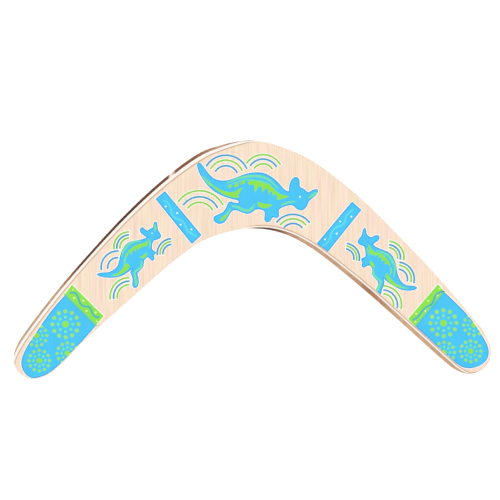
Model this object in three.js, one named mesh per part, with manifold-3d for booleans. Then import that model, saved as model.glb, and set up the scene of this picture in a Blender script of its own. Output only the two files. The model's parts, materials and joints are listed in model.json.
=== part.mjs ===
// A returning toy boomerang, 300 mm across, cut from five-ply board and printed on its upper face.
// It lies face up: X runs across the span, Y towards the elbow, Z up through the plies. Millimetres.
// Seen from above, a right-handed boomerang turns anticlockwise, so the left arm's outer edge and the
// right arm's inner edge trail. Those two edges are sanded to a long bevel that cuts through the plies.
import * as THREE from "three";
import { mergeVertices } from "three/addons/utils/BufferGeometryUtils.js";
import Module from "manifold-3d";

// Board: the plies from the table up, each [name, thickness, colour of its wood].
const PLIES = [
  ["back_veneer", 0.6, "#e8cfae"],
  ["lower_cross_ply", 1.3, "#dcc09c"],
  ["core_ply", 1.2, "#7d4c34"],
  ["upper_cross_ply", 1.3, "#f6ead2"],
  ["face_veneer", 0.6, "#f6dfcb"],
];
const BOARD_THICKNESS = PLIES.reduce((sum, [, thickness]) => sum + thickness, 0);
const WOOD_ROUGHNESS = 0.75;

// Edges
const BEVEL_DEPTH = 3.1; // how far down from the face the trailing edges' bevel reaches
const BEVEL_SLOPE = 0.79; // fall per millimetre of a bevel too narrow to reach that depth
const EDGE_BREAK = 0.35; // sandpapered corner all round
const SIDES_PER_OUTLINE_POINT = 5; // straight sides that stand for the curve up to the next point

// Print
const INK_THICKNESS = 0.12;
const PRINT_MARGIN = 0.15; // bare wood kept between any ink and the face's corner
const STROKE_WIDTH = 1.15; // the thin arcs
const SIDES_PER_KANGAROO_POINT = 2;
const SIDES_PER_FILL_POINT = 5;
const SIDES_PER_ARC = 7;
const INK_ROUGHNESS = 0.4;
const BLUE = "#43c6fa";
const GREEN = "#8fe33c";
const STROKE_BLUE = "#3f9fc9";
const STROKE_GREEN = "#8fce43";

// The board's outline seen from above, anticlockwise from the top of the elbow: [x, y, width of the bevel].
const OUTLINE = [
  // left arm's outer edge, trailing
  [0, 75, 1.8],
  [-9, 74.2, 2.9],
  [-19, 72, 3.7],
  [-31, 68, 4.9],
  [-53.5, 52.4, 4.6],
  [-78.5, 30, 4.4],
  [-103, 4.2, 4.0],
  [-122.6, -18, 4.0],
  [-142, -42.6, 3.9],
  // left tip
  [-147.8, -51.4, 3.7],
  [-150.4, -59, 2.6],
  [-149.2, -66, 0],
  [-145, -71, 0],
  [-138.2, -73.3, 0],
  [-129.5, -71, 0],
  // left arm's inner edge, leading
  [-121.4, -65, 0],
  [-108.8, -52.3, 0],
  [-83, -29.2, 0],
  [-57.4, -7, 0],
  [-45, 3, 0],
  [-32, 11.6, 0.2],
  [-19.5, 16.5, 0.6],
  // inside of the elbow
  [-7.5, 18.9, 1.5],
  [3, 19.5, 2.2],
  [12, 18.4, 2.9],
  [23.3, 14.9, 3.4],
  // right arm's inner edge, trailing
  [35, 8.5, 3.8],
  [47, -0.2, 3.9],
  [71.3, -20.6, 4.3],
  [96.3, -43.3, 4.0],
  [121.6, -66.4, 3.7],
  // right tip
  [128, -71, 3.0],
  [136, -73.3, 1.4],
  [142.6, -71, 0],
  [147.5, -66.2, 0],
  [149.4, -59, 0],
  [145, -47, 0],
  // right arm's outer edge, leading
  [137.7, -37.6, 0],
  [117.7, -13.6, 0],
  [93.9, 12.2, 0],
  [68.6, 37.7, 0],
  [43.1, 58.5, 0],
  [30.8, 65.8, 0],
  [18.4, 70.8, 0.2],
  [9, 73.8, 1.0],
];

// Blue fill and green band at each tip. The fill's first and last points lie along its band.
const TIP_FILLS = {
  left_tip_fill: [
    [-117.6, -20.9],
    [-127, -31.7],
    [-136.2, -44.7],
    [-142.3, -54],
    [-145.2, -61.3],
    [-144.9, -66.5],
    [-142.4, -70.6],
    [-138.5, -72.9],
    [-134, -72.9],
    [-129, -70.6],
    [-121.5, -64.9],
    [-109.2, -52.2],
    [-98.4, -40.4],
  ],
  right_tip_fill: [
    [120.4, -21.6],
    [130.2, -31.2],
    [137.7, -39.8],
    [143.3, -48.4],
    [146.6, -54.4],
    [147.9, -59.8],
    [146.5, -64.4],
    [143, -67.6],
    [137.4, -69.5],
    [132.3, -69.2],
    [127.3, -66.4],
    [121, -61.3],
    [117.3, -58],
    [101.9, -43.5],
  ],
};
const FOUR_SIDED = {
  left_tip_band: [[-113.1, -14.5], [-117.7, -20.4], [-98.3, -40], [-93.4, -34.4]],
  right_tip_band: [[116.5, -16.7], [120.2, -21.2], [101.7, -42.9], [97.5, -38.3]],
  left_arm_bar: [[-60.1, 38.7], [-54.1, 43.6], [-31.5, 15.8], [-37.6, 10.2]],
  right_arm_bar: [[63.1, 35.7], [69, 30.4], [47.1, 3.6], [39.9, 8.7]],
};

// Leaping kangaroos, each a closed outline that starts at a tip and runs clockwise.
const KANGAROOS = {
  elbow_kangaroo: [
    // tail, back and nape
    [-33.1, 61.5], [-31.7, 61], [-29.4, 58.2], [-26.8, 54.5], [-23.4, 51.3], [-19.4, 49.9],
    [-14.5, 50], [-9.5, 51.6], [-3.9, 53.7], [1.8, 54.7], [7.4, 54.4], [12.6, 52], [17, 48.2],
    [20.6, 44.1], [22.3, 42.9], [23.6, 42.6],
    // ears
    [23.8, 45.8], [24.9, 49.1], [26.9, 51.3], [28.8, 51.5], [30.2, 50], [30.5, 47], [30.6, 45.3],
    [33.2, 44], [35.6, 41.8], [38.9, 43.5], [41.6, 43.7], [41.8, 41.7], [39, 38.6], [36, 36],
    // muzzle and throat
    [35, 33.5], [33.2, 31.2], [30.9, 30.5], [28.3, 31.5], [26.2, 33.5], [24, 33.8], [20.1, 32.8],
    [17.4, 31.2],
    // forepaws and belly
    [17.2, 29.2], [17.3, 27.4], [16, 25.8], [13.4, 26.5], [12.2, 24.6], [10.4, 23.3], [8.5, 23.9],
    [8, 25.8], [8.3, 29.9], [5.5, 31.4], [2.6, 31.3], [0, 29.4], [-2.6, 28.7], [-6, 29.7],
    [-9.7, 31.1],
    // hind leg
    [-12.4, 30.4], [-14.7, 26.7], [-17.2, 23.5], [-20.5, 22.6], [-23.5, 24.3], [-23.8, 27],
    [-21.2, 28.5], [-17.8, 30.1], [-15.6, 33.3], [-14.3, 36.2], [-12.9, 36.6], [-8.5, 35.5],
    // underside of the tail
    [-8, 36.9], [-12.7, 38.3], [-17.7, 40], [-23.8, 43.4], [-28.6, 48.3], [-32.2, 54.2],
    [-33.8, 59.2],
  ],
  left_kangaroo: [
    // tail, back and nape
    [-97.3, -7.9], [-94.7, -7.1], [-90, -6.8], [-86.2, -4.9], [-84.1, -2.3], [-82.8, 3],
    [-81.1, 7.5], [-78.1, 11.2], [-74.5, 12.6], [-68.5, 13.6], [-66.1, 14.8],
    // ears and the crown between them
    [-68.9, 16.8], [-70.1, 18.8], [-69.6, 20.7], [-68.2, 21], [-65.6, 18.8], [-64, 20],
    [-61.9, 20.8], [-61.6, 23.2], [-60.3, 24.7], [-59.2, 23.4], [-58.7, 19],
    // muzzle, throat and chest
    [-57, 16.5], [-57, 14.6], [-58.8, 13.4], [-61.5, 12.5], [-62.5, 10], [-62.5, 7],
    // forepaws and belly
    [-61, 6], [-60, 4.9], [-61.5, 3.7], [-61.2, 1.2], [-62.6, -0.2], [-64.1, 1.2], [-65.3, 2.3],
    [-67.6, 0.2], [-68.1, -3.4], [-70.4, -6.2], [-71.9, -7.8],
    // hind leg
    [-71.3, -10.7], [-71.2, -14], [-72.2, -16.5], [-74.3, -16.9], [-75.3, -15.1], [-75, -10.9],
    [-76.4, -7.4], [-76.2, -6.5], [-75.2, -5.2],
    // underside of the tail
    [-77.7, -6.9], [-81, -9], [-85.1, -10.2], [-90, -10.4], [-94.7, -9.7], [-97.1, -8.8],
  ],
  right_kangaroo: [
    // ears and the crown between them
    [70.8, 19.2], [71.7, 18.2], [72, 16], [72.9, 14.4], [75.1, 13.2], [77.2, 14.3], [79.2, 14.5],
    [80.2, 13.1], [79.3, 11], [76.1, 8.7],
    // nape, back and tail
    [80.5, 5.9], [85.3, 4], [88.6, 0.7], [90.3, -4.4], [91.3, -10.2], [93.2, -14.4],
    [96.3, -17], [100.9, -17.6], [103.2, -18.3], [103.1, -19.5], [99.9, -20.5], [93.9, -20.1],
    [88.1, -17.2], [84, -14.3], [82.5, -12.7],
    // hind leg
    [83, -14.6], [82.6, -16.7], [81.3, -20], [80.7, -22.6], [80, -22.9], [78, -21], [77.2, -19.9],
    [79, -16.8], [78.7, -14.6], [76.4, -12.2], [75, -9.9], [75.3, -6.8], [73.9, -4.6],
    // forepaws
    [71.9, -4.9], [70, -5.8], [68.6, -4.8], [69.2, -2.5], [68.5, -1.1], [69, 0.3], [71, 0.9],
    // throat and muzzle
    [71.2, 3.6], [70.4, 7.5], [67.8, 8.5], [66.3, 10.3], [67.2, 12.4], [68.9, 14.3], [69.6, 17.5],
  ],
};

// Nested arcs: [name, centre they share, way they face, half their spread, radii from the outermost,
// colours that take turns from the outermost]. Angles are in degrees.
const ARC_GROUPS = [
  ["elbow_arcs_a", [-15.8, 51.3], 86, 63, [14.4, 11.3, 7.8], [STROKE_BLUE, STROKE_GREEN]],
  ["elbow_arcs_b", [7.5, 53.2], 87, 59, [12.6, 9.8, 6.8], [STROKE_GREEN, STROKE_BLUE]],
  ["elbow_arcs_c", [-32.6, 27.1], 85, 59, [16.5, 12.7, 9.2], [STROKE_GREEN, STROKE_BLUE]],
  ["elbow_arcs_d", [25.9, 15], 89, 53, [13.1, 10.3, 7.4], [STROKE_BLUE, STROKE_GREEN]],
  ["left_arcs_a", [-76.8, 8.5], 139, 48, [9.8, 7.9, 6], [STROKE_GREEN, STROKE_BLUE]],
  ["left_arcs_b", [-84.4, -4], 137, 52, [10.3, 6.2], [STROKE_BLUE]],
  ["left_arcs_c", [-50.1, 4.4], 139, 47, [9.3, 7.5, 5.7], [STROKE_BLUE, STROKE_GREEN]],
  ["left_arcs_d", [-77.1, -22.6], 138, 49, [12.2, 10, 7.7], [STROKE_GREEN, STROKE_BLUE]],
  ["right_arcs_a", [58.2, 0.4], 34, 48, [9.2, 7.5, 5.7], [STROKE_BLUE, STROKE_GREEN]],
  ["right_arcs_b", [85.4, 0.7], 36, 49, [9.9, 7.7, 5.9], [STROKE_GREEN, STROKE_BLUE]],
  ["right_arcs_c", [91.1, -13.2], 34, 49, [10.6, 8.7, 6.3], [STROKE_BLUE, STROKE_GREEN]],
  ["right_arcs_d", [81.5, -29.3], 36, 50, [12, 9.4, 7], [STROKE_GREEN, STROKE_BLUE]],
];

const wasm = await Module();
wasm.setup();

const matte = (color, roughness) => new THREE.MeshStandardMaterial({ color, roughness, metalness: 0 });

// A smooth closed curve through the points, with so many sides to each. A third number rides along as z.
function smoothLoop(points, sidesPerPoint) {
  const knots = points.map(([x, y, z = 0]) => new THREE.Vector3(x, y, z));
  const curve = new THREE.CatmullRomCurve3(knots, true, "centripetal");
  return curve.getPoints(points.length * sidesPerPoint).slice(0, -1);
}

const rim = smoothLoop(OUTLINE, SIDES_PER_OUTLINE_POINT);

// How far the board's side stands in from the outline at height z, where the bevel is so wide.
function setback(z, bevelWidth) {
  if (z === 0) {
    return EDGE_BREAK;
  }
  const width = Math.max(bevelWidth, EDGE_BREAK);
  const depth = Math.min(BEVEL_DEPTH, width * BEVEL_SLOPE);
  return width * THREE.MathUtils.clamp(1 - (BOARD_THICKNESS - z) / depth, 0, 1);
}

// The outline at height z, drawn in by the setback there and by an extra margin.
function ringAt(z, margin = 0) {
  return rim.map((point, i) => {
    const before = rim[(i + rim.length - 1) % rim.length];
    const after = rim[(i + 1) % rim.length];
    const inward = new THREE.Vector2(before.y - after.y, after.x - before.x).normalize();
    const shift = setback(z, point.z) + margin;
    return new THREE.Vector2(point.x + inward.x * shift, point.y + inward.y * shift);
  });
}

// A closed solid through one ring of points at each height, with flat caps.
function loft(rings, heights) {
  const count = rings[0].length;
  const positions = rings.flatMap((ring, level) => ring.flatMap((p) => [p.x, p.y, heights[level]]));
  const faces = [];
  for (let level = 0; level + 1 < rings.length; level += 1) {
    for (let i = 0; i < count; i += 1) {
      const low = level * count;
      const high = low + count;
      const next = (i + 1) % count;
      faces.push(low + i, low + next, high + next, low + i, high + next, high + i);
    }
  }
  const top = (rings.length - 1) * count;
  for (const [a, b, c] of THREE.ShapeUtils.triangulateShape(rings[0], [])) {
    faces.push(c, b, a);
  }
  for (const [a, b, c] of THREE.ShapeUtils.triangulateShape(rings.at(-1), [])) {
    faces.push(top + a, top + b, top + c);
  }
  const geometry = new THREE.BufferGeometry();
  geometry.setAttribute("position", new THREE.Float32BufferAttribute(positions, 3));
  return geometry.setIndex(faces);
}

function solidOf(geometry) {
  const bare = geometry.clone();
  bare.deleteAttribute("normal");
  bare.deleteAttribute("uv");
  const merged = mergeVertices(bare);
  return new wasm.Manifold(
    new wasm.Mesh({
      numProp: 3,
      vertProperties: merged.attributes.position.array,
      triVerts: new Uint32Array(merged.index.array),
    }),
  );
}

function geometryOf(solid) {
  const { vertProperties, triVerts } = solid.getMesh();
  const geometry = new THREE.BufferGeometry();
  geometry.setAttribute("position", new THREE.BufferAttribute(vertProperties, 3));
  return geometry.setIndex(new THREE.BufferAttribute(triVerts, 1));
}

function addPiece(group, name, geometry, material) {
  geometry.computeVertexNormals();
  const mesh = new THREE.Mesh(geometry, material);
  mesh.name = name;
  group.add(mesh);
}

function makeBoard() {
  const board = new THREE.Group();
  let bottom = 0;
  for (const [name, thickness, color] of PLIES) {
    // The sums are rounded so that neighbouring plies share exactly one height.
    const top = Number((bottom + thickness).toFixed(3));
    const heights = bottom === 0 ? [0, EDGE_BREAK, top] : [bottom, top];
    const rings = heights.map((height) => ringAt(height));
    addPiece(board, name, loft(rings, heights), matte(color, WOOD_ROUGHNESS));
    bottom = top;
  }
  return board;
}

const corners = (points) => points.map(([x, y]) => new THREE.Vector2(x, y));

// Every printed shape is cut off where the face ends.
const printableRing = ringAt(BOARD_THICKNESS, PRINT_MARGIN);
const printableFace = solidOf(loft([printableRing, printableRing], [-INK_THICKNESS, 2 * INK_THICKNESS]));

function addInk(group, name, shape, color, curveSegments = 1) {
  const settings = { depth: INK_THICKNESS, bevelEnabled: false, curveSegments };
  const film = solidOf(new THREE.ExtrudeGeometry(shape, settings));
  addPiece(group, name, geometryOf(film.intersect(printableFace)), matte(color, INK_ROUGHNESS));
}

function tipFillShape(points) {
  const [first, ...rest] = corners(points);
  const shape = new THREE.Shape();
  shape.moveTo(first.x, first.y);
  shape.splineThru(rest);
  return shape;
}

function arcShape([x, y], radius, facing, spread) {
  const start = THREE.MathUtils.degToRad(facing - spread);
  const end = THREE.MathUtils.degToRad(facing + spread);
  const shape = new THREE.Shape();
  shape.absarc(x, y, radius + STROKE_WIDTH / 2, start, end, false);
  shape.absarc(x, y, radius - STROKE_WIDTH / 2, end, start, true);
  return shape;
}

function makePrint() {
  const print = new THREE.Group();
  print.position.z = BOARD_THICKNESS;
  for (const [name, points] of Object.entries(TIP_FILLS)) {
    addInk(print, name, tipFillShape(points), BLUE, SIDES_PER_FILL_POINT);
  }
  for (const [name, points] of Object.entries(FOUR_SIDED)) {
    addInk(print, name, new THREE.Shape(corners(points)), name.endsWith("band") ? GREEN : BLUE);
  }
  for (const [name, points] of Object.entries(KANGAROOS)) {
    addInk(print, name, new THREE.Shape(smoothLoop(points, SIDES_PER_KANGAROO_POINT)), BLUE);
  }
  for (const [name, centre, facing, spread, radii, colors] of ARC_GROUPS) {
    radii.forEach((radius, i) => {
      const shape = arcShape(centre, radius, facing, spread);
      addInk(print, `${name}_${i + 1}`, shape, colors[i % colors.length], SIDES_PER_ARC);
    });
  }
  return print;
}

// The origin is the middle of the board's box, on the table.
const extent = new THREE.Box2().setFromPoints(rim.map(({ x, y }) => new THREE.Vector2(x, y)));
const middle = extent.getCenter(new THREE.Vector2());
const blank = new THREE.Group();
blank.position.set(-middle.x, -middle.y, 0);
blank.add(makeBoard(), makePrint());

const boomerang = new THREE.Group();
boomerang.add(blank);

export default boomerang;
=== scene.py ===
# The looks of a printed plywood boomerang, built around its CAD frame and laid out as a Blender add-on.
import json
import math

import bmesh
import bpy
import numpy as np
from mathutils import Color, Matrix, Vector
from mathutils.geometry import tessellate_polygon


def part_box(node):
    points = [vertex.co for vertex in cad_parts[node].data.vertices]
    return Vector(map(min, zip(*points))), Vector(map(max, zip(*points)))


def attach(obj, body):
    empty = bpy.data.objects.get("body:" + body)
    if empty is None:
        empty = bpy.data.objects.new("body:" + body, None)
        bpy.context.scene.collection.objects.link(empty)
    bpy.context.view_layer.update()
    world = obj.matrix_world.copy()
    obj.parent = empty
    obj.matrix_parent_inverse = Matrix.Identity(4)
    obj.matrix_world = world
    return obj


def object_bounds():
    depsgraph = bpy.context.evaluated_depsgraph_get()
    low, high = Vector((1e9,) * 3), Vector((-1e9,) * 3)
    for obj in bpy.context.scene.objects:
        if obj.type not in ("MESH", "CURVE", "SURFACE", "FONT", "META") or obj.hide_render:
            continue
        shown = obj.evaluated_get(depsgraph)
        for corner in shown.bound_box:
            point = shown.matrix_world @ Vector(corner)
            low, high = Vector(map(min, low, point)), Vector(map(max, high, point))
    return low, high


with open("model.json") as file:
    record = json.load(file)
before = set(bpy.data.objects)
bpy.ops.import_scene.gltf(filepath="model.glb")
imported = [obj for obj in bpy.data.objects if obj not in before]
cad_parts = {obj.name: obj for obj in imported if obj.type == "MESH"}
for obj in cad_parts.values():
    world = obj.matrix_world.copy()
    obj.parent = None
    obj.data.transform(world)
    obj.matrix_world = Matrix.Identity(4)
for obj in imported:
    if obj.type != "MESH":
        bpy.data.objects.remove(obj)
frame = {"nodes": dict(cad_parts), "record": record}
CAD_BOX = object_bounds()

bl_info = {
    "name": "Plywood boomerang",
    "version": (1, 0, 0),
    "blender": (4, 5, 0),
    "location": "3D Viewport > Sidebar > Boomerang",
    "description": "Wood, print and studio for a boomerang cut from five-ply board",
    "category": "Object",
}

MM = 0.001
MICRON = 0.000001
BODY = "root"
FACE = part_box("face_veneer")[1].z
INK_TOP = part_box("left_tip_fill")[1].z

# Outlines
CURVE_STEPS = 6  # straight sides between two points of a painted curve
DOT_SIDES = 18
CAP_ANGLES = np.radians([60, 30, 0, -30, -60])  # round end of a painted line
SHARPEST = 0.6  # a corner's offset grows no further than 1 / SHARPEST of the margin
FOLDED = 0.97  # share of the margin under which an offset point has folded over
SPOT_DIGITS = 7  # decimals of a metre that tell two corners apart

# The print's coats, counted from the CAD ink up
RIM_COAT = 1
LINE_COAT = 2
TOP_COAT = 3
STACK = 10  # how many shapes in a row of one coat stand at different heights

# Patterns in the surfaces: the size of their spots in millimetres along x, y and z, and their detail
GRAIN = (0.8, 28, 28), 4
CLOUDS = (7, 16, 16), 3
STREAKS = (9, 9, 0.14), 3
CORE_STREAKS = (9, 9, 0.14), 4
CORE_PATCHES = (2.5, 2.5, 1), 3
PORES = (0.3, 0.3, 0.3), 2
INK_CLOUDS = (9, 9, 9), 6
FLOOR_SPECKLES = (4, 4, 4), 2

# Uses of a pattern: the low and the high end of the stretch that counts, and what they turn into.
# That is a share of the second colour, or a brightness.
CLOUD_SHARES = (0.36, 0.6, 0, 1)
GRAIN_SHARES = (0.42, 0.75, 0, 0.6)
STREAK_SHARES = (0.35, 0.7, 0, 1)
PORE_TONES = (0.3, 0.5, 0.9, 1)
CORE_STREAK_TONES = (0.3, 0.7, 1.18, 0.82)
CORE_PATCH_TONES = (0.3, 0.7, 0.85, 1.15)
INK_CLOUD_TONES = (0.3, 0.7, 0.96, 1.03)
INK_GRAIN_TONES = (0.3, 0.8, 1.01, 0.96)
FLOOR_TONES = (0.3, 0.7, 0.99, 1)
FLAT_SHARES = (0.9, 0.97, 0, 1)  # the upright part of a normal: from a cut to the flat face

# Depths of the relief, in millimetres, and gloss
GRAIN_DEPTH = 0.05
STREAK_DEPTH = 0.08
CORE_DEPTH = 0.12
INK_DEPTH = 0.02
FLOOR_DEPTH = 0.02
BUMP_STRENGTH = 0.6
WOOD_ROUGHNESS = 0.75
WOOD_SPECULAR = 0.15
INK_ROUGHNESS = 0.6
INK_SPECULAR = 0.22

# The middle line of the arms: its height on the Y axis, and how much it falls for each step outwards
ARM_MIDDLE = 47 * MM
ARM_FALL = 0.75
SIDE_BLEND = 120 * MM * MM  # how softly the trailing edges give way to the others

# The brown rubbed over the pale ply on the right arm's bevel: its top, and where it sets in along X
STAIN_TOP = 3.75 * MM
STAIN_BLUR = 0.08 * MM
STAIN_START = (-6 * MM, 2 * MM)

# Stage
STAGE_SIDES = 64
FLOOR_GAP = 0.1 * MM
WHITE = (1, 1, 1, 1)
BLACK = (0, 0, 0, 1)
BRIGHTEST = 255  # the highest that two digits of a web colour go

# The print's own nodes
KANGAROOS = ("elbow", "left", "right")
ARC_GROUPS = [f"{place}_arcs_{letter}" for place in KANGAROOS for letter in "abcd"]
LONE_SHAPES = [
    *(f"{side}_{shape}" for side in ("left", "right") for shape in ("tip_fill", "tip_band", "arm_bar")),
    *(f"{place}_kangaroo" for place in KANGAROOS),
]
RIMMED = [name for name in LONE_SHAPES if not name.endswith("band")]

# Fine painted lines on the kangaroos: rows of x, y and width in millimetres
FINE_LINES = {
    "elbow": [
        # back, lower belly, throat, ear, tail, shin, and the fringe over the mane
        [(-14.6, 47.4, 0.4), (-7.7, 50.1, 1.12), (-1.4, 51.4, 1.38), (4.9, 51.4, 1.38), (9.9, 50.1, 1.25),
         (13.6, 47.4, 1.12), (17.3, 43.6, 0.3)],
        [(-11, 32.9, 1), (-7.9, 32.1, 1.12), (-4.8, 30.5, 1.38), (-1.6, 30, 1.62), (0.9, 31.4, 1.12),
         (2.5, 34, 0.4)],
        [(19.1, 33.2, 0.5), (22.2, 34.3, 1.12), (25.1, 35, 1), (27.9, 35.3, 0.3)],
        [(37, 37.7, 1.12), (39.2, 39.2, 1.62), (41.5, 40.9, 0.75)],
        [(-29.9, 51.9, 0.4), (-27.5, 48.5, 1), (-24.7, 46, 1.25)],
        [(-12.9, 31, 0.5), (-14.2, 28.6, 1.25), (-15.8, 26.4, 1.62)],
        [(-14.2, 45.7, 0.3), (-9.3, 47.5, 0.5), (-5, 48.8, 0.5), (0, 49.1, 0.6), (5, 48.6, 0.6),
         (9.5, 47.5, 0.5), (13, 45.8, 0.3)],
    ],
    "left": [
        # back, flank, lower belly down to the foot, tail, throat and ear
        [(-81.1, 2.3, 0.4), (-80.2, 5.1, 1.12), (-78.1, 8.2, 1.25), (-75.3, 10.4, 1.12), (-72.1, 11.3, 1),
         (-69, 11.6, 0.3)],
        [(-79.3, -4, 0.4), (-79.4, -0.8, 1), (-78.5, 2, 1), (-77.2, 4.2, 0.4)],
        [(-68.5, -1, 0.4), (-68.8, -3.5, 1.12), (-70, -5.7, 1.12), (-72.2, -6.9, 1), (-73.2, -8.4, 0.75),
         (-72.9, -10.9, 1), (-72.2, -13.5, 1.62), (-72.3, -15.7, 1)],
        [(-88, -10.1, 0.3), (-84.9, -9.6, 1.12), (-83, -9, 1.25)],
        [(-63.6, 12.2, 0.4), (-63.5, 9.7, 1), (-63.9, 6.8, 0.3)],
        [(-60.1, 21.5, 1), (-59.9, 19.7, 1.5), (-60.1, 17.8, 0.4)],
    ],
    "right": [
        # back, flank, lower belly down to the foot, tail and throat
        [(79, 3.8, 0.3), (82.8, 2.6, 1), (85.9, 0.8, 1.25), (88.3, -2.3, 1.38), (89.9, -6.1, 1.25),
         (90, -9.6, 1), (89.1, -12.8, 0.3)],
        [(87.3, -6.5, 0.4), (87.8, -9, 1), (87.1, -11.5, 0.4)],
        [(76.9, -7.3, 0.4), (76.5, -9.9, 1.12), (77.3, -12.1, 1.25), (79.4, -13.9, 1), (81.2, -15.8, 1),
         (80.3, -18.3, 1.25), (79, -20.5, 1.75)],
        [(92.6, -18.7, 1.25), (95.7, -19.6, 0.75), (98.2, -20, 0.3)],
        [(72.7, 5.6, 0.4), (73.4, 3.5, 1.12), (73.7, 1.2, 0.4)],
    ],
}
# Bright painted lines on the kangaroos, in the same way
BRIGHT_LINES = {
    "elbow": [
        # foot and three dabs on the rump
        [(-15.2, 27.2, 1.0), (-16.8, 25.7, 1.7), (-18.3, 24.4, 1.5)],
        [(-13.4, 44.6, 0.7), (-12.6, 45.1, 1.3), (-11.8, 45.6, 0.8)],
        [(-9.6, 45.2, 1.1), (-8.7, 45.9, 1.8), (-7.9, 46.5, 1.4)],
        [(-5.9, 46.9, 0.9), (-4.9, 47.3, 1.6), (-3.6, 47.9, 1)],
    ],
    "left": [
        # one dab on the rump
        [(-78.5, 2.3, 0.9), (-78, 3.1, 1.2), (-77.5, 3.9, 0.8)],
    ],
    "right": [
        # the thin end of the mane
        [(73.8, 7.4, 0.4), (74.2, 6.2, 0.9), (74.7, 5.2, 1)],
    ],
}
EYES = [(31.1, 38.2, 0.55), (-62, 16.4, 0.35)]  # x, y and radius in millimetres

# Bright patches on the kangaroos, in millimetres. A patch is a list of stretches: each is a smooth curve
# from its first point through the others to the first point of the next, where the patch has a corner.
PATCHES = {
    "elbow": [
        # mane: the crest, the nape's last tuft, then the four tufts and the front end
        [
            [(-1.4, 47.9), (1, 48.5), (3.3, 48.4), (5.6, 47.9), (7.8, 47.3), (10.1, 46.6), (12.4, 45.5),
             (13.9, 44.3), (15.1, 42.9), (16.4, 41.5), (18, 40.4), (19.8, 39.6), (22.1, 39)],
            [(24.3, 38.4), (22, 37.6), (19.8, 37.1), (18, 36.7)],
            [(16.6, 36.6), (16.8, 38.2), (16.3, 39.6)],
            [(15.5, 40.4), (15, 39.8)],
            [(14, 39), (13.9, 40.3), (13.7, 41.3)],
            [(13.1, 42.1), (12.2, 41.2)],
            [(11.4, 39.5), (11.3, 41.5), (11, 43)],
            [(10.3, 43.8), (9, 43.1)],
            [(7.5, 41.3), (7.3, 43.5), (7, 44.7)],
            [(6.2, 45.4), (4.8, 44.3)],
            [(2.8, 41.4), (2.6, 43.5), (2.5, 45.2)],
            [(1.7, 46.4), (0.2, 46.2), (-1.2, 46.7)],
        ],
        # tail, with a thin end round the haunch
        [
            [(-28.4, 51.2), (-26, 48.5), (-23.5, 46.1), (-20.8, 44.3), (-18, 42.9), (-14.8, 41.8),
             (-12, 41.5), (-9.2, 42.2), (-6.8, 43.5)],
            [(-4.2, 44.6), (-5.4, 43.4), (-6.8, 41.5), (-7.5, 39.8)],
            [(-7.6, 38.1), (-10, 38.2), (-12.4, 38.8), (-14.8, 39.6), (-17.3, 40.7), (-20, 42.3),
             (-22.4, 44.3), (-24.6, 46.5), (-26.6, 48.9)],
        ],
        # chest
        [
            [(4.6, 35.2), (6.4, 34.7), (8.2, 34.2), (10.4, 34)],
            [(13.6, 33.5), (12.2, 32.4), (10.4, 31.6), (8.5, 31.4), (6.5, 31.9), (5, 32.8), (4.5, 34)],
        ],
    ],
    "left": [
        # mane, with four tufts
        [
            [(-64.3, 12.6), (-65.9, 10.9), (-67.6, 10.2), (-69.6, 9.7), (-71.5, 9.1), (-73.3, 8.3),
             (-74.8, 7.2), (-76, 6.2)],
            [(-77.1, 5.4), (-76.4, 4.6)],
            [(-74.8, 3.3), (-74.7, 5)],
            [(-73.9, 6.4), (-73.2, 6)],
            [(-72.4, 4.8), (-72.2, 6.1)],
            [(-71.5, 7), (-71, 6.6)],
            [(-70.4, 6), (-70.4, 7)],
            [(-70, 7.7), (-69.6, 7.3)],
            [(-69, 6.9), (-68.9, 7.8)],
            [(-68.5, 8.4), (-67.6, 8.2)],
            [(-66.5, 8), (-65.4, 9), (-64.8, 10.6)],
        ],
        # tail and chest
        [
            [(-86.6, -9.4), (-84, -8.5), (-82.3, -7.2), (-80.6, -5.4), (-79.3, -3.6)],
            [(-78.2, -2.3), (-77.2, -2.9)],
            [(-76.2, -4.1), (-77.4, -5.8), (-79.4, -7.6), (-81.9, -8.8), (-84.2, -9.5)],
        ],
        [
            [(-69.2, 1.9), (-68, 2.4), (-66.6, 3.4)],
            [(-65.6, 4.1), (-65.5, 2.9), (-66.4, 1.6), (-67.7, 0.9), (-68.8, 0.9)],
        ],
    ],
    "right": [
        # mane, with five tufts
        [
            [(74, 6.8), (74.9, 5.5), (76, 4.2), (77.4, 3.2), (79.2, 2.6), (81, 2.1), (82.6, 1.3),
             (84.1, -0.1), (85.5, -1.9), (86.6, -3.6)],
            [(87.2, -5.6), (86.4, -5.4)],
            [(85.8, -4.2), (84.8, -4.5)],
            [(83.6, -4.6), (84.2, -3.3)],
            [(83.6, -2), (82.6, -2.5)],
            [(81.5, -2.8), (82, -1.4)],
            [(81.3, -0.2), (80.5, -0.4)],
            [(79.8, -0.6), (80.1, 0.6)],
            [(79.2, 1.4), (78.5, 0.9)],
            [(77.9, 0.3), (78, 1.2)],
            [(77.6, 1.8), (77.1, 1.3)],
            [(76.5, 0.6), (76.6, 1.5)],
            [(76.2, 2), (75.7, 1.8)],
            [(75.2, 1.5), (74.4, 3.5)],
        ],
        # tail and chest
        [
            [(85.2, -10.5), (86.2, -12.2), (87.5, -14), (89.3, -15.8), (91.4, -17.4)],
            [(94.5, -19.3), (91.8, -19), (89.2, -17.9), (86.9, -16.2), (85.2, -14.2)],
            [(84.3, -12.4), (84.4, -11.3)],
        ],
        [
            [(74.6, -2.2), (75.7, -3.3), (76.9, -4.7)],
            [(77.2, -6.4), (76, -6.4), (75, -5), (74.6, -3.6)],
        ],
    ],
}

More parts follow.
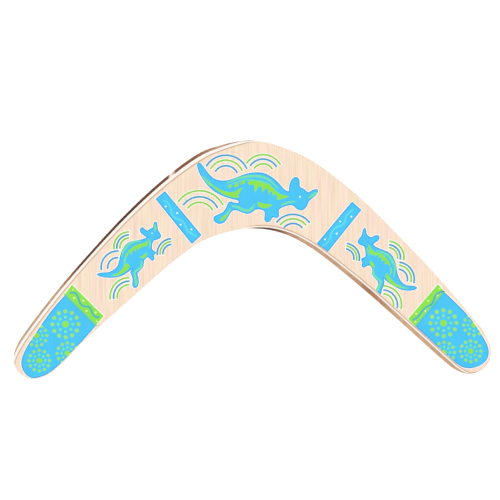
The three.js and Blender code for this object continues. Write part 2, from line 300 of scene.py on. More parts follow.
# Wavy lines on the bands and bars: x and y in millimetres
WAVES = {
    "left_tip_band": [(-113.6, -20.5), (-111.4, -20.3), (-109.5, -21.8), (-108.5, -24.4), (-107.4, -27.1),
                      (-105.2, -29), (-102.4, -29.2), (-100.7, -31.3), (-99.6, -34.2), (-97.4, -35.9),
                      (-95.9, -35.7)],
    "right_tip_band": [(120.4, -22), (117.3, -23), (115.1, -25.1), (114, -28.1), (112.2, -30.6),
                       (109.1, -32.1), (106.6, -34.7), (104.3, -37.8), (101.1, -39.9)],
    "left_arm_bar": [(-54.3, 36.8), (-52.1, 35.6), (-50.8, 33.4), (-49.9, 30.6), (-49.3, 28.1),
                     (-47.5, 25.9), (-44.4, 24.6), (-42, 22.8), (-41, 20.4), (-39.8, 17.8), (-37.3, 15.8),
                     (-34.4, 14.1)],
    "right_arm_bar": [(64, 29.7), (61.6, 27.7), (59.8, 25.6), (59.1, 22.7), (57.5, 20.5), (54.1, 19),
                      (51.5, 17), (50.3, 14.3), (49.2, 11.3), (47.4, 8.8), (44.9, 7.3)],
}
# Dots on the bands and bars: x, y and radius in millimetres
DOTS = {
    "left_tip_band": [(-111.3, -23.7, 0.65), (-105.6, -25.4, 0.7), (-103.6, -31.9, 0.65),
                      (-97.8, -32.9, 0.65), (-112, -18.5, 0.5), (-97.1, -38.5, 0.5)],
    "right_tip_band": [(110.8, -27.9, 0.7), (108.8, -34.2, 0.65), (103.2, -35.9, 0.65),
                       (116.7, -24.7, 0.6), (102.6, -40.9, 0.6), (118, -20.5, 0.5)],
    "left_arm_bar": [(-53.2, 33.1, 0.55), (-46.1, 28.9, 0.55), (-44, 21.6, 0.55), (-37.3, 18.5, 0.55)],
    "right_arm_bar": [(63.2, 25.4, 0.55), (56.1, 22.5, 0.55), (53.8, 14.9, 0.55), (46.5, 11.3, 0.55)],
}

# Seam where each green band laps over its blue fill: x, y and width in millimetres
SEAMS = {
    "left": [(-117.1, -21.5, 1.1), (-97.8, -41.05, 1.1)],
    "right": [(120.8, -22.2, 1.1), (102.3, -44.05, 1.1)],
}

# Flowers of dots: the centre of the large one and of the small ones on each tip, in millimetres
FLOWERS = {
    "left": {"large": [(-116.9, -40.1)], "small": [(-133.6, -62.7), (-135.1, -47), (-115.9, -58.3)]},
    "right": {"large": [(120.2, -42)], "small": [(137.1, -59.8), (139.3, -43.4), (120.4, -60.5)]},
}
# Each ring of a flower: how many dots, the ring's radius and a dot's radius, in millimetres
FLOWER_RINGS = {
    "large": {"centres": (1, 0, 2.2), "inner_dots": (8, 4.6, 1.0), "outer_dots": (12, 8.1, 1.3)},
    "small": {"centres": (1, 0, 1.8), "inner_dots": (8, 3.65, 0.88), "outer_dots": (12, 6.45, 1.05)},
}

# The core ply along the bevel: x in millimetres and the colour of its cut there
CORE_COLOURS = [
    (-149, "#c9a78f"),
    (-138, "#bfa088"),
    (-121, "#c4a085"),
    (-115, "#a07057"),
    (-109, "#6d4431"),
    (-80, "#5b3424"),
    (-62, "#6a4130"),
    (-51.6, "#764a37"),
    (-50.6, "#ecd3c4"),
    (-48.4, "#f1ddd0"),
    (-47.4, "#83543d"),
    (-38, "#84543c"),
    (-29, "#a0735a"),
    (-20, "#c9a48c"),
    (-8, "#a07a66"),
    (2, "#5f3d30"),
    (12, "#573629"),
    (18, "#805a47"),
    (25, "#bd9177"),
    (36, "#caa286"),
    (62, "#caa183"),
    (74, "#a5775a"),
    (80, "#b8886b"),
    (92, "#cfa989"),
    (125, "#cba484"),
    (149, "#c9a78f"),
]


def linear(code):
    """A web colour such as #aabbcc as the three linear numbers that Blender works in."""
    shares = [int(code[i:i + 2], 16) / BRIGHTEST for i in (1, 3, 5)]
    return tuple(Color(shares).from_srgb_to_scene_linear())


def colour_property(name, code, description):
    """A setting that holds a colour, given as a web colour."""
    return bpy.props.FloatVectorProperty(
        name=name, description=description, default=linear(code), subtype="COLOR", min=0, max=1
    )


def length_property(name, millimetres, description):
    """A setting that holds a length, given in millimetres."""
    return bpy.props.FloatProperty(
        name=name, description=description, default=millimetres * MM, unit="LENGTH", min=0, precision=5
    )


class BoomerangWood(bpy.types.PropertyGroup):
    """Colours of the plies"""

    face: colour_property("Face", "#f5e3ca", "Warm parts of the pale veneer")
    face_pink: colour_property("Face, pink", "#f8dfcf", "Pinker parts of the pale veneer")
    face_grain: colour_property("Face grain", "#e0c2a4", "Fine lines of the veneer's grain")
    face_cut: colour_property("Face veneer's cut", "#d3ab92", "Line where the bevel cuts the veneer")
    cross_ply: colour_property("Cross plies", "#fffdf8", "Pale plies on either side of the core")
    cross_shade: colour_property("Cross plies' streaks", "#fbf1e4", "Darker streaks in the pale plies")
    back: colour_property("Back", "#ecd3b3", "Bare veneer on the back")
    back_grain: colour_property("Back grain", "#cfae88", "Grain of the back veneer")


class BoomerangPrint(bpy.types.PropertyGroup):
    """Colours and sizes of the print"""

    blue: colour_property("Blue", "#42c3f4", "Kangaroos, bars and tips")
    rim_blue: colour_property("Rim blue", "#2b9fda", "Darker line round every blue shape")
    green: colour_property("Green", "#8ae146", "Bands, manes, tails and the middles of flowers")
    turquoise: colour_property("Turquoise", "#6de0ae", "Fine lines on the kangaroos")
    dot_green: colour_property("Dot green", "#93e267", "Outer dots of flowers")
    wave_blue: colour_property("Wave blue", "#44b5bf", "Wavy line on a green band")
    line_blue: colour_property("Line blue", "#3e9cc8", "Blue arcs")
    line_green: colour_property("Line green", "#8fcd44", "Green arcs")
    cyan: colour_property("Cyan", "#58dbe6", "Wavy line on a blue bar")
    seam: colour_property("Seam", "#68d0a4", "Where a green band laps over the blue below it")
    inner_green: colour_property("Inner green", "#76e4a4", "Inner dots of flowers")
    yellow: colour_property("Yellow", "#e0f98c", "Dots on a green band")
    white: colour_property("White", "#fefdfa", "Base under the print, dots on a bar and the eye")
    base_margin: length_property("White margin", 0.42, "How far the white base shows round a shape")
    rim_width: length_property("Rim width", 0.6, "Width of the darker line round a blue shape")
    wave_width: length_property("Wave width", 1.15, "Width of the wavy lines")
    gain: length_property("Gain", 0.14, "How far a painted line or patch spreads on every side")
    base_height: length_property("Base height", 0.04, "Thickness of the white base")
    relief: length_property("Relief", 0.02, "How far each further coat stands above the one below")
    clearance: length_property("Edge clearance", 0.05, "Bare wood between the print and the face's corner")


class BoomerangStudio(bpy.types.PropertyGroup):
    """Floor, lights and camera"""

    radius: bpy.props.FloatProperty(
        name="Radius", description="Radius of the floor and its backdrop", default=12, unit="LENGTH", min=1
    )
    floor: colour_property("Floor", "#f7f7f6", "Plain pale floor")
    floor_glow: bpy.props.FloatProperty(
        name="Floor glow", description="Light from the floor itself, which softens the shadow",
        default=0.2, min=0
    )
    key: bpy.props.FloatProperty(
        name="Key light", description="Irradiance of the soft light overhead", default=1.55, min=0
    )
    key_angle: bpy.props.FloatProperty(
        name="Key size", description="Angle that the soft light fills", default=math.radians(35),
        subtype="ANGLE", min=0
    )
    fill: bpy.props.FloatProperty(
        name="Fill light", description="Strength of the light from all round", default=0.56, min=0
    )
    lens: bpy.props.FloatProperty(
        name="Lens", description="Focal length in millimetres", default=200, min=1
    )
    height: bpy.props.FloatProperty(
        name="Camera height", description="Height of the camera above the face", default=1.7426,
        unit="LENGTH", min=0.1
    )
    aim: bpy.props.FloatVectorProperty(
        name="Aim", description="Point under the camera", default=(-0.66 * MM, 5.2 * MM), size=2,
        subtype="TRANSLATION"
    )
    roll: bpy.props.FloatProperty(
        name="Roll", description="Turn of the camera about the upright", default=math.radians(-0.64),
        subtype="ANGLE"
    )


# Which colour each of the record's inks has
SLOT_INKS = {
    "blue_ink": "blue",
    "green_ink": "green",
    "blue_line_ink": "line_blue",
    "green_line_ink": "line_green",
}
# The colour and slot of each part of a flower, and of the wavy lines and dots on a band and on a bar
FLOWER_INKS = {
    "centres": ("green", "green_ink"),
    "inner_dots": ("inner_green", "green_line_ink"),
    "outer_dots": ("dot_green", "green_line_ink"),
}
BAND_INKS = {
    "band": {"wave": ("wave_blue", "blue_line_ink"), "dots": ("yellow", "yellow_ink")},
    "bar": {"wave": ("cyan", "green_line_ink"), "dots": ("white", "white_ink")},
}


# Outlines: arrays with a row for each point, in metres


def in_metres(rows):
    """Rows of millimetres as an array of metres."""
    return np.array(rows) * MM


def unit(rows):
    """Each row scaled to a length of 1."""
    return rows / np.linalg.norm(rows, axis=1, keepdims=True)


def outline_of(node):
    """The outline of a CAD node's upper face, anticlockwise."""
    mesh = frame["nodes"][node].data
    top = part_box(node)[1].z
    spots = [(round(v.co.x, SPOT_DIGITS), round(v.co.y, SPOT_DIGITS)) for v in mesh.vertices]
    level = [abs(v.co.z - top) < MICRON for v in mesh.vertices]
    edges = set()
    for polygon in mesh.polygons:
        corners = list(polygon.vertices)
        if not all(level[i] for i in corners):
            continue
        for a, b in zip(corners, corners[1:] + corners[:1]):
            # An edge that a neighbouring face runs the other way isn't on the outline.
            if (spots[b], spots[a]) in edges:
                edges.remove((spots[b], spots[a]))
            elif spots[a] != spots[b]:
                edges.add((spots[a], spots[b]))
    follows = dict(edges)
    outline = [min(follows)]
    while follows[outline[-1]] != outline[0]:
        outline.append(follows[outline[-1]])
    return np.array(outline)


def anticlockwise(outline):
    """The same outline, turned round if it runs clockwise."""
    x, y = outline.T
    area = (x * np.roll(y, -1) - y * np.roll(x, -1)).sum()
    return outline if area > 0 else outline[::-1]


def nearest(points, outline):
    """For each point, the closest spot on the outline and how far away it is."""
    sides = np.roll(outline, -1, axis=0) - outline
    reach = ((points[:, None] - outline) * sides).sum(axis=2) / (sides**2).sum(axis=1)
    spots = outline + np.clip(reach, 0, 1)[..., None] * sides
    distances = np.linalg.norm(points[:, None] - spots, axis=2)
    best = distances.argmin(axis=1)
    rows = np.arange(len(points))
    return spots[rows, best], distances[rows, best]


def inside(points, outline):
    """For each point, whether it lies within the outline."""
    x, y = points[:, :1], points[:, 1:]
    ax, ay = outline.T
    bx, by = np.roll(outline, -1, axis=0).T
    crossed = (ay > y) != (by > y)
    rise = np.where(by == ay, 1, by - ay)
    return (crossed & (x < ax + (y - ay) * (bx - ax) / rise)).sum(axis=1) % 2 == 1


def offset(outline, margin):
    """An anticlockwise outline moved outwards by the margin, or inwards by a negative one."""
    before = outline - np.roll(outline, 1, axis=0)
    after = np.roll(outline, -1, axis=0) - outline
    side_normals = [unit(np.column_stack((side[:, 1], -side[:, 0]))) for side in (before, after)]
    outward = unit(side_normals[0] + side_normals[1])
    lean = np.maximum((outward * side_normals[0]).sum(axis=1, keepdims=True), SHARPEST)
    moved = outline + outward * margin / lean
    return moved[nearest(moved, outline)[1] > abs(margin) * FOLDED]


def kept_within(outline, limit):
    """The outline with the points beyond the limit pulled back to it, or nothing if all are beyond it."""
    within = inside(outline, limit)
    if not within.any():
        return []
    pulled = np.where(within[:, None], outline, nearest(outline, limit)[0])
    moves = np.linalg.norm(pulled - np.roll(pulled, 1, axis=0), axis=1)
    return pulled[moves > MICRON]


def smooth(points):
    """A smooth curve through the points, as rows of as many numbers as each point has."""
    knots = np.array(points, float)
    knots = np.vstack((2 * knots[0] - knots[1], knots, 2 * knots[-1] - knots[-2]))
    rows = []
    for a, b, c, d in zip(knots, knots[1:], knots[2:], knots[3:]):
        for t in np.arange(CURVE_STEPS) / CURVE_STEPS:
            cubic = (3 * b - a - 3 * c + d) * t**3
            square = (2 * a - 5 * b + 4 * c - d) * t**2
            rows.append((2 * b + (c - a) * t + square + cubic) / 2)
    return np.array([*rows, knots[-2]])


def stroke(points):
    """The outline of a painted line through rows of x, y and width, with round ends."""
    path = smooth(points)
    middle, half = path[:, :2], path[:, 2:] / 2
    ahead = unit(np.gradient(middle, axis=0))
    left = np.column_stack((-ahead[:, 1], ahead[:, 0])) * half
    caps = []
    for end, turn in ((-1, 1), (0, -1)):
        angles = np.arctan2(*(turn * ahead[end])[::-1]) + CAP_ANGLES
        caps.append(middle[end] + half[end] * np.column_stack((np.cos(angles), np.sin(angles))))
    return anticlockwise(np.vstack((middle + left, caps[0], (middle - left)[::-1], caps[1])))


def patch(stretches):
    """The outline of a painted patch, from the stretches of its edge."""
    curves = []
    for stretch, following in zip(stretches, stretches[1:] + stretches[:1]):
        curves.append(smooth(in_metres([*stretch, following[0]]))[:-1])
    return anticlockwise(np.vstack(curves))


def dot(x, y, radius):
    """The outline of a round dot."""
    angles = np.arange(DOT_SIDES) * math.tau / DOT_SIDES
    return np.column_stack((x + radius * np.cos(angles), y + radius * np.sin(angles)))


def ring_of_dots(x, y, count, ring, radius):
    """The outlines of equal dots round a centre, or of one dot on it where the ring has no radius."""
    turns = np.arange(count) * math.tau / count
    return [dot(*in_metres((x + ring * math.sin(t), y + ring * math.cos(t), radius))) for t in turns]


# Films


def new_object(name, mesh, material):
    """An object in the scene, made from a bmesh and freed of it."""
    data = bpy.data.meshes.new(name)
    mesh.to_mesh(data)
    mesh.free()
    data.materials.append(material)
    piece = bpy.data.objects.new(name, data)
    bpy.context.scene.collection.objects.link(piece)
    return piece


def add_film(name, shapes, low, high, material):
    """One thin piece. Each shape is a list of outlines: its edge, then any holes in it."""
    mesh = bmesh.new()
    for number, loops in enumerate(shapes):
        # Shapes that overlap have tops at slightly different heights.
        levels = []
        for z in (low, high + number % STACK * MICRON):
            levels.append([mesh.verts.new((x, y, z)) for loop in loops for x, y in loop])
        for triangle in tessellate_polygon([[Vector((x, y, 0)) for x, y in loop] for loop in loops]):
            for level in levels:
                mesh.faces.new([level[i] for i in triangle])
        first = 0
        for loop in loops:
            for i in range(len(loop)):
                a, b = first + i, first + (i + 1) % len(loop)
                mesh.faces.new((levels[0][a], levels[0][b], levels[1][b], levels[1][a]))
            first += len(loop)
    if len(mesh.faces) == 0:
        raise RuntimeError(f"{name} has no shape")
    bmesh.ops.recalc_face_normals(mesh, faces=mesh.faces)
    piece = new_object(name, mesh, material)
    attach(piece, BODY)


def coat_top(coat):
    """How high a coat of the print reaches. The first lies on the CAD ink, the next on the first."""
    return INK_TOP + coat * bpy.context.scene.boomerang_print.relief


def add_coat(name, shapes, coat, material):
    """A film on top of the CAD ink, which starts a little inside it."""
    relief = bpy.context.scene.boomerang_print.relief
    add_film(name, shapes, INK_TOP - relief, coat_top(coat), material)


# Materials


def add_node(tree, kind, inputs, **settings):
    """A shader node; inputs maps each socket to a value or to the output that feeds it."""
    node = tree.nodes.new("ShaderNode" + kind)
    for setting, value in settings.items():
        setattr(node, setting, value)
    for socket, value in inputs.items():
        if isinstance(value, bpy.types.NodeSocket):
            tree.links.new(value, node.inputs[socket])
        else:
            node.inputs[socket].default_value = value
    return node


def calculated(tree, operation, *values):
    """The result of a Math node."""
    return add_node(tree, "Math", dict(enumerate(values)), operation=operation).outputs["Value"]


def place_on_object(tree):
    """Where each spot of the surface is, in metres."""
    return add_node(tree, "TexCoord", {}).outputs["Object"]


def parts_of(tree, vector):
    """The X, Y and Z of a vector."""
    return add_node(tree, "SeparateXYZ", {"Vector": vector}).outputs


def noise(tree, size, detail):
    """Noise from 0 to 1 whose spots measure about so many millimetres along x, y and z."""
    scale = [1 / length for length in in_metres(size)]
    stretched = add_node(tree, "Mapping", {"Vector": place_on_object(tree), "Scale": scale})
    inputs = {"Vector": stretched.outputs["Vector"], "Scale": 1, "Detail": detail}
    return add_node(tree, "TexNoise", inputs).outputs["Fac"]


def spread(tree, value, from_low, from_high, to_low, to_high):
    """A number stretched from one range to another and kept inside it."""
    ends = {"From Min": from_low, "From Max": from_high, "To Min": to_low, "To Max": to_high}
    return add_node(tree, "MapRange", {"Value": value, **ends}).outputs["Result"]


def mixed(tree, share, first, second):
    """The first colour with that share of the second in it."""
    # The sockets of a Mix node that mixes colours: its share, its two colours and its result
    inputs = {0: share, 6: first, 7: second}
    return add_node(tree, "Mix", inputs, data_type="RGBA").outputs[2]


def shaded(tree, colour, brightness):
    """The colour, made lighter or darker."""
    return add_node(tree, "HueSaturation", {"Color": colour, "Value": brightness}).outputs["Color"]


def opaque(colour):
    """A colour of three numbers with the fourth that a node asks for."""
    return (*colour, 1)


def new_material(name, roughness, specular):
    """A material with nothing but its gloss."""
    material = bpy.data.materials.new(name)
    material.use_nodes = True
    shader = material.node_tree.nodes["Principled BSDF"]
    shader.inputs["Roughness"].default_value = roughness
    shader.inputs["Specular IOR Level"].default_value = specular
    return material


def finish_surface(material, colour, height, depth):
    """Links the colour, and a relief of that depth in millimetres from a height of 0 to 1."""
    tree = material.node_tree
    shader = tree.nodes["Principled BSDF"]
    bump = add_node(tree, "Bump", {"Height": height, "Distance": depth * MM, "Strength": BUMP_STRENGTH})
    tree.links.new(bump.outputs["Normal"], shader.inputs["Normal"])
    tree.links.new(colour, shader.inputs["Base Color"])


def set_glow(material, strength):
    """Makes the material shine white."""
    shader = material.node_tree.nodes["Principled BSDF"]
    shader.inputs["Emission Color"].default_value = WHITE
    shader.inputs["Emission Strength"].default_value = strength


def trailing_share(tree):
    """1 on the trailing edges, the left arm's outer and the right arm's inner one, and 0 on the others."""
    spot = parts_of(tree, place_on_object(tree))
    reach = calculated(tree, "ABSOLUTE", spot["X"])
    fall = calculated(tree, "MULTIPLY_ADD", reach, ARM_FALL, spot["Y"])
    outward = calculated(tree, "SUBTRACT", fall, ARM_MIDDLE)
    side = calculated(tree, "MULTIPLY", outward, spot["X"])
    return spread(tree, side, -SIDE_BLEND, SIDE_BLEND, 1, 0)


def stain_share(tree):
    """1 on the stained lower part of the right arm's bevel, and 0 elsewhere."""
    spot = parts_of(tree, place_on_object(tree))
    low = spread(tree, spot["Z"], STAIN_TOP - STAIN_BLUR, STAIN_TOP + STAIN_BLUR, 1, 0)
    right = spread(tree, spot["X"], *STAIN_START, 0, 1)
    return calculated(tree, "MULTIPLY", calculated(tree, "MULTIPLY", low, right), trailing_share(tree))


def cut_colour(tree, light, dark):
    """A sanded cut across a ply, with streaks along the edge and fine pores; and the streaks alone."""
    streaks = noise(tree, *STREAKS)
    cut = mixed(tree, spread(tree, streaks, *STREAK_SHARES), light, dark)
    return shaded(tree, cut, spread(tree, noise(tree, *PORES), *PORE_TONES)), streaks


def core_colour(tree):
    """The core's brown, which changes along the span; and the streaks in it."""
    along = parts_of(tree, place_on_object(tree))["X"]
    ends = [CAD_BOX[0].x, CAD_BOX[1].x]
    ramp = add_node(tree, "ValToRGB", {"Fac": spread(tree, along, *ends, 0, 1)})
    stops = ramp.color_ramp.elements
    while len(stops) < len(CORE_COLOURS):
        stops.new(1)
    for stop, (x, code) in zip(stops, CORE_COLOURS):
        stop.position = (x * MM - ends[0]) / (ends[1] - ends[0])
        stop.color = opaque(linear(code))
    streaks = noise(tree, *CORE_STREAKS)
    colour = shaded(tree, ramp.outputs["Color"], spread(tree, streaks, *CORE_STREAK_TONES))
    return shaded(tree, colour, spread(tree, noise(tree, *CORE_PATCHES), *CORE_PATCH_TONES)), streaks


def veneer_material(name, plain, other, grain, cut):
    """An outer ply: grained face, and a darker cut on the trailing edges where it doesn't face straight up
    or down; its other edges keep the plain colour.
    """
    material = new_material(name, WOOD_ROUGHNESS, WOOD_SPECULAR)
    tree = material.node_tree
    lines = noise(tree, *GRAIN)
    face = mixed(tree, spread(tree, noise(tree, *CLOUDS), *CLOUD_SHARES), plain, other)
    face = mixed(tree, spread(tree, lines, *GRAIN_SHARES), face, grain)
    side = mixed(tree, trailing_share(tree), plain, cut_colour(tree, cut, grain)[0])
    upright = parts_of(tree, add_node(tree, "NewGeometry", {}).outputs["Normal"])["Z"]
    flat = spread(tree, calculated(tree, "ABSOLUTE", upright), *FLAT_SHARES)
    finish_surface(material, mixed(tree, flat, side, face), lines, GRAIN_DEPTH)
    return material


def cross_ply_material(name, light, dark, stained=False):
    """A pale ply. A stained one has the core's brown on the lower part of the right arm's bevel."""
    material = new_material(name, WOOD_ROUGHNESS, WOOD_SPECULAR)
    tree = material.node_tree
    colour, streaks = cut_colour(tree, light, dark)
    if stained:
        colour = mixed(tree, stain_share(tree), colour, core_colour(tree)[0])
    finish_surface(material, colour, streaks, STREAK_DEPTH)
    return material


def core_material():
    """The brown ply in the middle."""
    material = new_material("core_ply_wood", WOOD_ROUGHNESS, WOOD_SPECULAR)
    finish_surface(material, *core_colour(material.node_tree), CORE_DEPTH)
    return material


def ink(name):
    """The material of one of the print's colours, made the first time that it is asked for."""
    if name in bpy.data.materials:
        return bpy.data.materials[name]
    material = new_material(name, INK_ROUGHNESS, INK_SPECULAR)
    tree = material.node_tree
    lines = noise(tree, *GRAIN)
    colour = opaque(getattr(bpy.context.scene.boomerang_print, name))
    colour = shaded(tree, colour, spread(tree, noise(tree, *INK_CLOUDS), *INK_CLOUD_TONES))
    colour = shaded(tree, colour, spread(tree, lines, *INK_GRAIN_TONES))
    finish_surface(material, colour, lines, INK_DEPTH)
    return material


def dress(node, material):
    """Gives a CAD node its material."""
    materials = frame["nodes"][node].data.materials
    materials.clear()
    materials.append(material)


# Stage


def add_floor(studio):
    """A round pale floor just under the board."""
    disc = bmesh.new()
    bmesh.ops.create_circle(disc, cap_ends=True, segments=STAGE_SIDES, radius=studio.radius)
    material = new_material("floor_paint", WOOD_ROUGHNESS, WOOD_SPECULAR)
    set_glow(material, studio.floor_glow)
    tree = material.node_tree
    speckles = noise(tree, *FLOOR_SPECKLES)
    tone = shaded(tree, opaque(studio.floor), spread(tree, speckles, *FLOOR_TONES))
    finish_surface(material, tone, speckles, FLOOR_DEPTH)
    floor = new_object("floor", disc, material)
    floor.location.z = CAD_BOX[0].z - FLOOR_GAP


def add_backdrop(studio):
    """A white half dome over the floor. It is only seen: light passes through it, and it lights nothing."""
    dome = bmesh.new()
    bmesh.ops.create_uvsphere(dome, u_segments=STAGE_SIDES, v_segments=STAGE_SIDES, radius=studio.radius)
    below = [vertex for vertex in dome.verts if vertex.co.z < -MM]
    bmesh.ops.delete(dome, geom=below, context="VERTS")
    material = new_material("backdrop_glow", roughness=1, specular=0)
    material.node_tree.nodes["Principled BSDF"].inputs["Base Color"].default_value = BLACK
    set_glow(material, 1)
    backdrop = new_object("backdrop", dome, material)
    backdrop.visible_diffuse = False
    backdrop.visible_glossy = False
    backdrop.visible_transmission = False
    backdrop.visible_shadow = False


def add_lights(scene, studio):
    """A soft light from straight above, and an even one from all round."""
    key = bpy.data.lights.new("key", "SUN")
    key.energy = studio.key
    key.angle = studio.key_angle
    scene.collection.objects.link(bpy.data.objects.new("key", key))
    world = bpy.data.worlds.new("fill")
    world.use_nodes = True
    background = world.node_tree.nodes["Background"]
    background.inputs["Color"].default_value = WHITE
    background.inputs["Strength"].default_value = studio.fill
    scene.world = world


def add_camera(scene, studio):
    """A camera that looks straight down on the face."""
    lens = bpy.data.cameras.new("camera")
    lens.lens = studio.lens
    camera = bpy.data.objects.new("camera", lens)
    camera.location = (*studio.aim, FACE + studio.height)
    camera.rotation_euler.z = studio.roll
    scene.collection.objects.link(camera)
    scene.camera = camera


# Operators, one for each piece or group of like pieces


class BOOMERANG_OT_finish_plies(bpy.types.Operator):
    """Give the five plies their wood: grained veneers, pale cross plies and a brown core"""

    bl_idname = "boomerang.finish_plies"
    bl_label = "Finish the plies"
    bl_options = {"REGISTER", "UNDO"}

    def execute(self, context):
        wood = context.scene.boomerang_wood
        pink, grain = opaque(wood.face_pink), opaque(wood.face_grain)
        back, back_grain = opaque(wood.back), opaque(wood.back_grain)
        pale, streak = opaque(wood.cross_ply), opaque(wood.cross_shade)
        face = veneer_material("face_veneer_wood", opaque(wood.face), pink, grain, opaque(wood.face_cut))
        rear = veneer_material("back_veneer_wood", back, back, back_grain, back_grain)
        dress("face_veneer", face)
        dress("upper_cross_ply", cross_ply_material("upper_cross_ply_wood", pale, streak, stained=True))
        dress("core_ply", core_material())
        dress("lower_cross_ply", cross_ply_material("lower_cross_ply_wood", pale, streak))
        dress("back_veneer", rear)
        return {"FINISHED"}


class BOOMERANG_OT_colour_print(bpy.types.Operator):
    """Give every printed CAD film its ink, by the record's material slot"""

    bl_idname = "boomerang.colour_print"
    bl_label = "Colour the print"
    bl_options = {"REGISTER", "UNDO"}

    def execute(self, context):
        for subpart in frame["record"]["subparts"]:
            if subpart["material_slot"] in SLOT_INKS:
                dress(subpart["node"], ink(SLOT_INKS[subpart["material_slot"]]))
        return {"FINISHED"}


class BOOMERANG_OT_lay_white_base(bpy.types.Operator):
    """Lay the white base that shows as a thin margin round every printed shape"""

    bl_idname = "boomerang.lay_white_base"
    bl_label = "Lay the white base"
    bl_options = {"REGISTER", "UNDO"}

    def execute(self, context):
        looks = context.scene.boomerang_print
        edge = offset(outline_of("face_veneer"), -looks.clearance)
        top = FACE + looks.base_height
        for name in [*LONE_SHAPES, *ARC_GROUPS]:
            nodes = sorted(node for node in frame["nodes"] if node.startswith(name))
            shapes = [[kept_within(offset(outline_of(node), looks.base_margin), edge)] for node in nodes]
            add_film(f"{name}_base", shapes, FACE, top, ink("white"))
            # The next base may overlap this one, so it starts above the last shape's top.
            top += len(shapes) * MICRON
        return {"FINISHED"}


class BOOMERANG_OT_draw_rims(bpy.types.Operator):
    """Draw the darker line just inside the edge of every blue shape"""

    bl_idname = "boomerang.draw_rims"
    bl_label = "Draw the rims"
    bl_options = {"REGISTER", "UNDO"}

    def execute(self, context):
        width = context.scene.boomerang_print.rim_width
        for node in RIMMED:
            outline = outline_of(node)
            rim = [[outline, offset(outline, -width)]]
            add_coat(f"{node}_rim", rim, RIM_COAT, ink("rim_blue"))
        return {"FINISHED"}


class BOOMERANG_OT_paint_kangaroos(bpy.types.Operator):
    """Paint the fine lines and the bright patches on the three kangaroos, and their eyes"""

    bl_idname = "boomerang.paint_kangaroos"
    bl_label = "Paint the kangaroos"
    bl_options = {"REGISTER", "UNDO"}

    def execute(self, context):
        gain = context.scene.boomerang_print.gain
        for place in KANGAROOS:
            fine = [stroke(in_metres(line)) for line in FINE_LINES[place]]
            bright = [stroke(in_metres(line)) for line in BRIGHT_LINES[place]]
            bright += [patch(stretches) for stretches in PATCHES[place]]
            fine, bright = ([[offset(outline, gain)] for outline in group] for group in (fine, bright))
            add_coat(f"{place}_kangaroo_fine_lines", fine, LINE_COAT, ink("turquoise"))
            add_coat(f"{place}_kangaroo_bright_patches", bright, TOP_COAT, ink("green"))
        eyes = [[dot(*in_metres(row))] for row in EYES]
        add_coat("kangaroo_eyes", eyes, TOP_COAT, ink("white"))
        return {"FINISHED"}


class BOOMERANG_OT_paint_bands(bpy.types.Operator):
    """Paint the wavy line and the dots on each green band and blue bar, and the seams of the bands"""

    bl_idname = "boomerang.paint_bands"
    bl_label = "Paint the bands and bars"
    bl_options = {"REGISTER", "UNDO"}

    def execute(self, context):
        looks = context.scene.boomerang_print
        for node, points in WAVES.items():
            inks = BAND_INKS[node.split("_")[-1]]
            line = stroke([(x * MM, y * MM, looks.wave_width) for x, y in points])
            wave = [[kept_within(line, outline_of(node))]]
            dots = [[dot(*in_metres(row))] for row in DOTS[node]]
            for part, shapes, coat in (("wave", wave, LINE_COAT), ("dots", dots, TOP_COAT)):
                colour, slot = inks[part]
                add_coat(f"{node}_{part}", shapes, coat, ink(colour))
        edge = offset(outline_of("face_veneer"), -looks.clearance)
        for side, line in SEAMS.items():
            seam = [[kept_within(stroke(in_metres(line)), edge)]]
            add_film(f"{side}_tip_seam", seam, FACE, coat_top(LINE_COAT), ink("seam"))
        return {"FINISHED"}


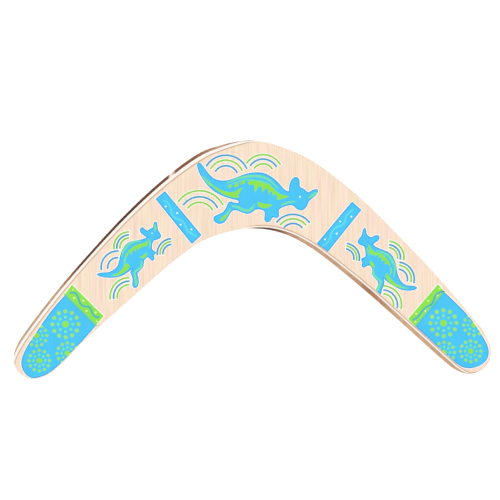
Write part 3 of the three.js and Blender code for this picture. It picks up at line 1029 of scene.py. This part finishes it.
class BOOMERANG_OT_paint_flowers(bpy.types.Operator):
    """Paint the flowers of dots on the tips, cut off where the blue ends"""

    bl_idname = "boomerang.paint_flowers"
    bl_label = "Paint the flowers"
    bl_options = {"REGISTER", "UNDO"}

    def execute(self, context):
        for side, flowers in FLOWERS.items():
            limit = outline_of(f"{side}_tip_fill")
            for part, (colour, slot) in FLOWER_INKS.items():
                dots = []
                for size, centres in flowers.items():
                    for x, y in centres:
                        dots += ring_of_dots(x, y, *FLOWER_RINGS[size][part])
                cut = [kept_within(outline, limit) for outline in dots]
                shapes = [[outline] for outline in cut if len(outline) > 0]
                add_coat(f"{side}_flower_{part}", shapes, LINE_COAT, ink(colour))
        return {"FINISHED"}


class BOOMERANG_OT_set_stage(bpy.types.Operator):
    """Set the pale floor and backdrop, the soft lights and the camera"""

    bl_idname = "boomerang.set_stage"
    bl_label = "Set the stage"
    bl_options = {"REGISTER", "UNDO"}

    def execute(self, context):
        scene = context.scene
        studio = scene.boomerang_studio
        scene.view_settings.view_transform = "Standard"
        add_floor(studio)
        add_backdrop(studio)
        add_lights(scene, studio)
        add_camera(scene, studio)
        return {"FINISHED"}


STEPS = (
    BOOMERANG_OT_finish_plies,
    BOOMERANG_OT_colour_print,
    BOOMERANG_OT_lay_white_base,
    BOOMERANG_OT_draw_rims,
    BOOMERANG_OT_paint_kangaroos,
    BOOMERANG_OT_paint_bands,
    BOOMERANG_OT_paint_flowers,
    BOOMERANG_OT_set_stage,
)
SETTINGS = {
    "boomerang_wood": BoomerangWood,
    "boomerang_print": BoomerangPrint,
    "boomerang_studio": BoomerangStudio,
}


class BOOMERANG_PT_steps(bpy.types.Panel):
    """The steps that finish the boomerang, and the values that they use"""

    bl_idname = "BOOMERANG_PT_steps"
    bl_label = "Boomerang"
    bl_space_type = "VIEW_3D"
    bl_region_type = "UI"
    bl_category = "Boomerang"

    def draw(self, context):
        for step in STEPS:
            self.layout.operator(step.bl_idname)
        for name, group in SETTINGS.items():
            box = self.layout.box()
            for setting in group.__annotations__:
                box.prop(getattr(context.scene, name), setting)


CLASSES = (*SETTINGS.values(), *STEPS, BOOMERANG_PT_steps)


def register():
    for cls in CLASSES:
        bpy.utils.register_class(cls)
    for name, group in SETTINGS.items():
        setattr(bpy.types.Scene, name, bpy.props.PointerProperty(type=group))


def unregister():
    for name in SETTINGS:
        delattr(bpy.types.Scene, name)
    for cls in reversed(CLASSES):
        bpy.utils.unregister_class(cls)


def main():
    """Runs every step in order."""
    register()
    for step in STEPS:
        getattr(bpy.ops.boomerang, step.bl_idname.split(".")[1])()


if __name__ == "__main__":
    main()
